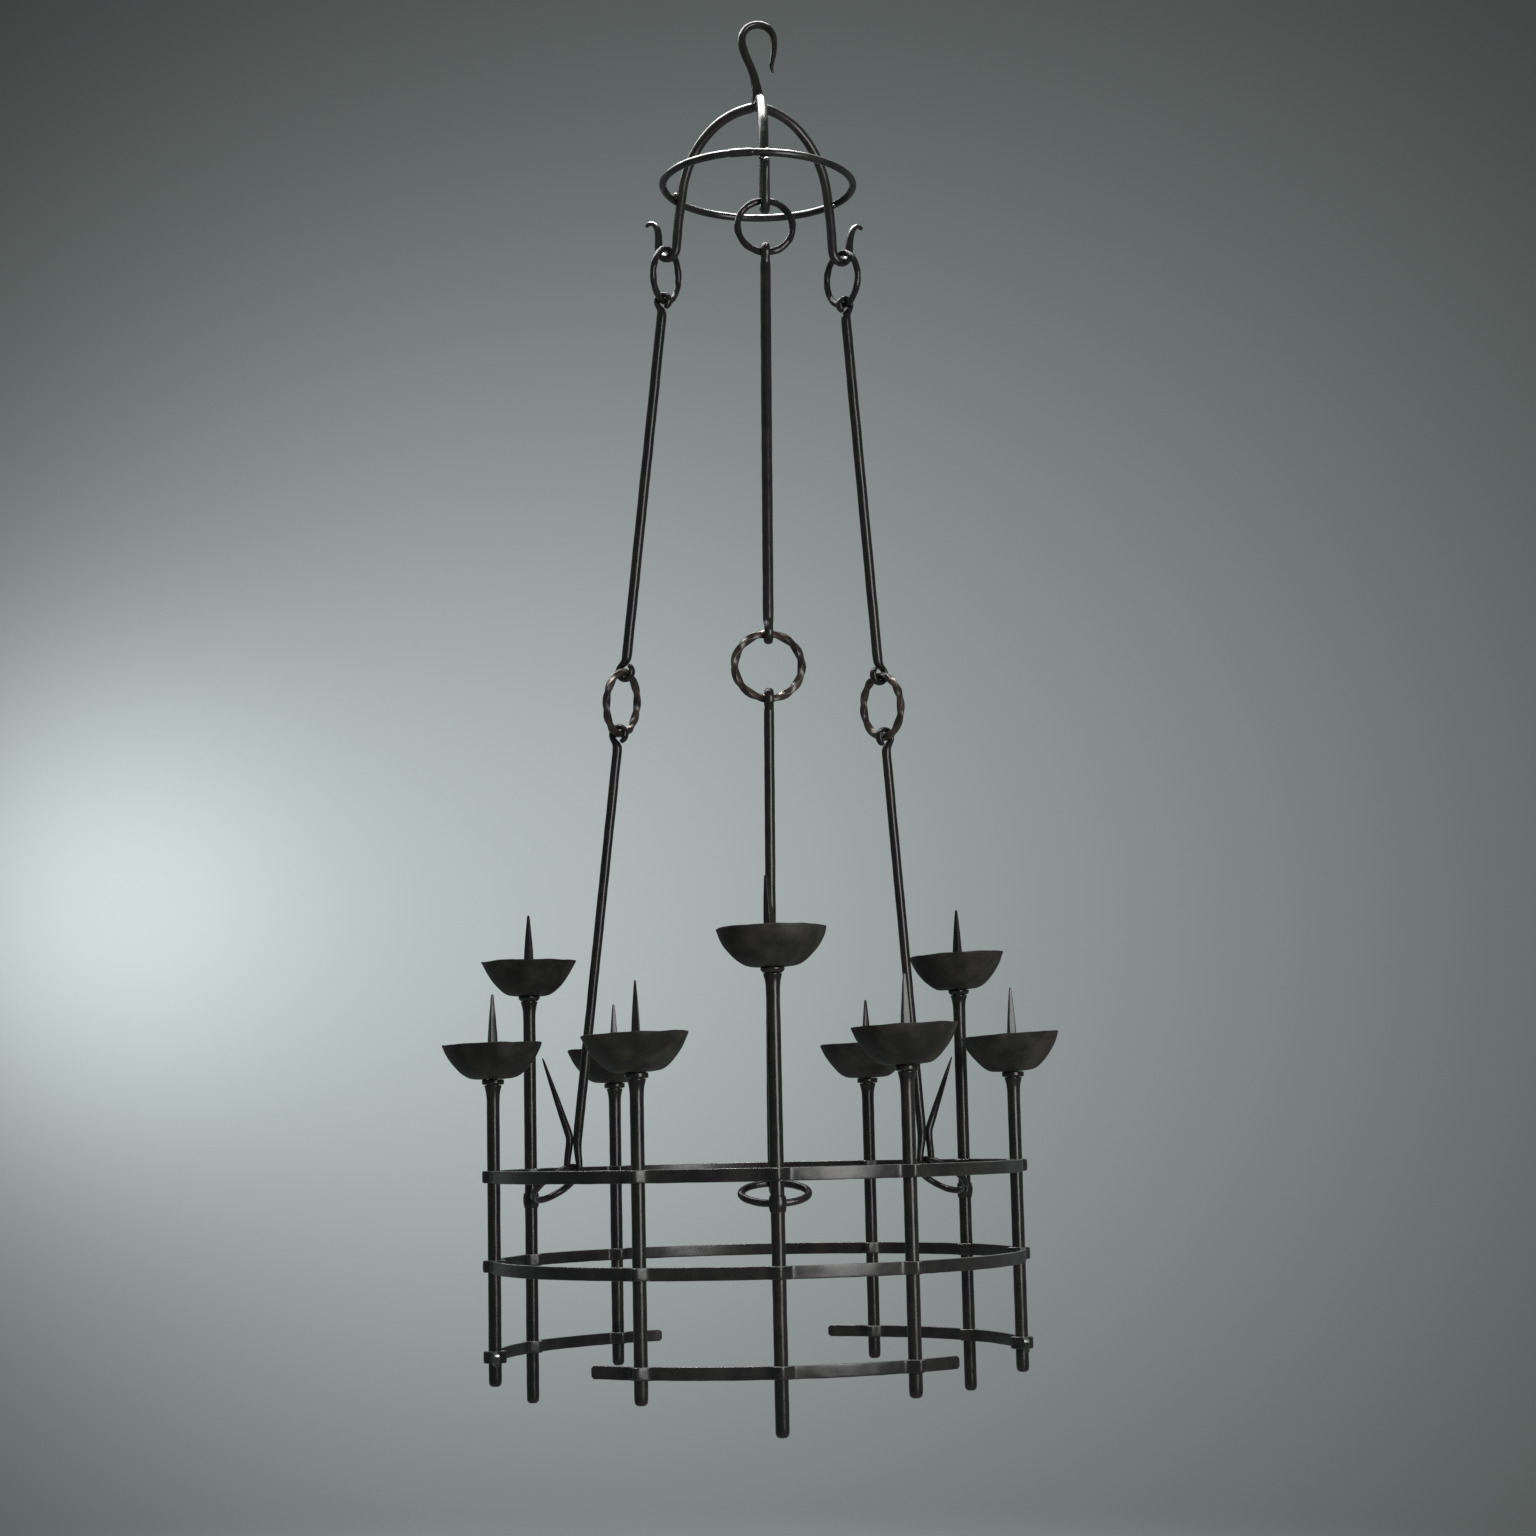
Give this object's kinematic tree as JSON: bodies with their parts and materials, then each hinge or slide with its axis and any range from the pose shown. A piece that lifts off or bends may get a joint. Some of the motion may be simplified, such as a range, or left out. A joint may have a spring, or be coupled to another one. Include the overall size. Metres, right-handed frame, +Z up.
{
  "type": "wrought iron chandelier",
  "caption": "Hanging forged iron chandelier: a hooked crown carries chains of links and rods, and they hold a hooped basket of posts with drip cups and candle prickets",
  "frame": {"origin": "the seat inside the top hook, on the axis that the chandelier hangs on", "axes": "+Z up along the hanging axis; -Y to the front, towards the front chain and the middle tall post; +X to the right"},
  "size_m": [0.6374, 0.5974, 1.4739],
  "materials": {
    "forged_iron": "hand-forged round iron, near-black with a warm brown tint, waxed, soft satin highlights along worn facets",
    "worn_iron": "forged flat and round bar, dark grey with lighter rubbed patches and bright worn upper edges",
    "reddish_iron": "twisted square bar, hammered, dark reddish brown with rubbed corners",
    "cup_iron": "raised and planished sheet iron, matt dark brown-grey with faint hammer marks and a paler rim"
  },
  "bodies": {
    "crown": {"top_hook": "forged_iron", "crown_ring": "worn_iron", "crown_arm_front": "worn_iron", "crown_arm_right": "worn_iron", "crown_arm_left": "worn_iron"},
    "basket": {"upper_hoop": "worn_iron", "middle_hoop": "worn_iron", "lower_band_front": "worn_iron", "lower_band_right": "worn_iron", "lower_band_left": "worn_iron", "basket_loop_front": "forged_iron", "basket_loop_right": "forged_iron", "basket_loop_left": "forged_iron", "post_front_left": "forged_iron", "collar_front_left": "forged_iron", "drip_cup_front_left": "cup_iron", "post_front": "forged_iron", "collar_front": "forged_iron", "drip_cup_front": "cup_iron", "post_front_right": "forged_iron", "collar_front_right": "forged_iron", "drip_cup_front_right": "cup_iron", "post_right_front": "forged_iron", "collar_right_front": "forged_iron", "drip_cup_right_front": "cup_iron", "post_right": "forged_iron", "collar_right": "forged_iron", "drip_cup_right": "cup_iron", "post_right_rear": "forged_iron", "collar_right_rear": "forged_iron", "drip_cup_right_rear": "cup_iron", "post_left_rear": "forged_iron", "collar_left_rear": "forged_iron", "drip_cup_left_rear": "cup_iron", "post_left": "forged_iron", "collar_left": "forged_iron", "drip_cup_left": "cup_iron", "post_left_front": "forged_iron", "collar_left_front": "forged_iron", "drip_cup_left_front": "cup_iron"},
    "upper_rod_front": {"upper_rod_front": "forged_iron"},
    "upper_link_front": {"upper_link_front": "forged_iron"},
    "middle_link_front": {"middle_link_front": "reddish_iron"},
    "lower_rod_front": {"lower_rod_front": "forged_iron"},
    "upper_rod_right": {"upper_rod_right": "forged_iron"},
    "upper_link_right": {"upper_link_right": "forged_iron"},
    "middle_link_right": {"middle_link_right": "reddish_iron"},
    "lower_rod_right": {"lower_rod_right": "forged_iron"},
    "upper_rod_left": {"upper_rod_left": "forged_iron"},
    "upper_link_left": {"upper_link_left": "forged_iron"},
    "middle_link_left": {"middle_link_left": "reddish_iron"},
    "lower_rod_left": {"lower_rod_left": "forged_iron"}
  },
  "joints": [
    {"name": "basket_turn", "type": "hinge", "parent": "crown", "child": "basket", "pos_m": [0, 0, -1.2215], "axis": [0, 0, 1], "range_deg": [-10, 10], "stiffness_Nm_per_rad": 1.8},
    {"name": "chain_swivel_front", "type": "hinge", "parent": "crown", "child": "upper_rod_front", "pos_m": [0, -0.109, -0.2405], "axis": [0, -0.1094, 0.994], "range_deg": [-10.2, 10.2]},
    {"name": "upper_link_spin_front", "type": "hinge", "parent": "upper_rod_front", "child": "upper_link_front", "pos_m": [0, -0.11103, -0.25959], "axis": [0, -0.9944, 0.106], "continuous": true},
    {"name": "middle_link_spin_front", "type": "hinge", "parent": "upper_rod_front", "child": "middle_link_front", "pos_m": [0, -0.16082, -0.72685], "axis": [0, -0.9944, 0.106], "continuous": true},
    {"name": "lower_rod_rock_front", "type": "hinge", "parent": "upper_rod_front", "child": "lower_rod_front", "pos_m": [0, -0.16434, -0.75986], "axis": [0, -0.9944, 0.106], "range_deg": [-0.5, 0.5]},
    {"name": "chain_swivel_right", "type": "hinge", "parent": "crown", "child": "upper_rod_right", "pos_m": [0.0944, 0.0545, -0.2405], "axis": [0.0967, 0.0558, 0.9937], "range_deg": [-10.2, 10.2]},
    {"name": "upper_link_spin_right", "type": "hinge", "parent": "upper_rod_right", "child": "upper_link_right", "pos_m": [0.09619, 0.05554, -0.25959], "axis": [0.861, 0.4971, 0.108], "continuous": true},
    {"name": "middle_link_spin_right", "type": "hinge", "parent": "upper_rod_right", "child": "middle_link_right", "pos_m": [0.14012, 0.0809, -0.72674], "axis": [0.861, 0.4971, 0.108], "continuous": true},
    {"name": "lower_rod_rock_right", "type": "hinge", "parent": "upper_rod_right", "child": "lower_rod_right", "pos_m": [0.14323, 0.08269, -0.75975], "axis": [0.861, 0.4971, 0.108], "range_deg": [-0.5, 0.5]},
    {"name": "chain_swivel_left", "type": "hinge", "parent": "crown", "child": "upper_rod_left", "pos_m": [-0.0944, 0.0545, -0.2405], "axis": [-0.0959, 0.0554, 0.9938], "range_deg": [-10.2, 10.2]},
    {"name": "upper_link_spin_left", "type": "hinge", "parent": "upper_rod_left", "child": "upper_link_left", "pos_m": [-0.09618, 0.05553, -0.25959], "axis": [-0.861, 0.4971, 0.1073], "continuous": true},
    {"name": "middle_link_spin_left", "type": "hinge", "parent": "upper_rod_left", "child": "middle_link_left", "pos_m": [-0.13986, 0.08075, -0.72677], "axis": [-0.861, 0.4971, 0.1073], "continuous": true},
    {"name": "lower_rod_rock_left", "type": "hinge", "parent": "upper_rod_left", "child": "lower_rod_left", "pos_m": [-0.14294, 0.08253, -0.75978], "axis": [-0.861, 0.4971, 0.1073], "range_deg": [-0.5, 0.5]}
  ],
  "couplings": [
    {"joint": "chain_swivel_front", "follows": "basket_turn", "ratio": 1.006},
    {"joint": "chain_swivel_right", "follows": "basket_turn", "ratio": 1.0063},
    {"joint": "chain_swivel_left", "follows": "basket_turn", "ratio": 1.0062}
  ]
}
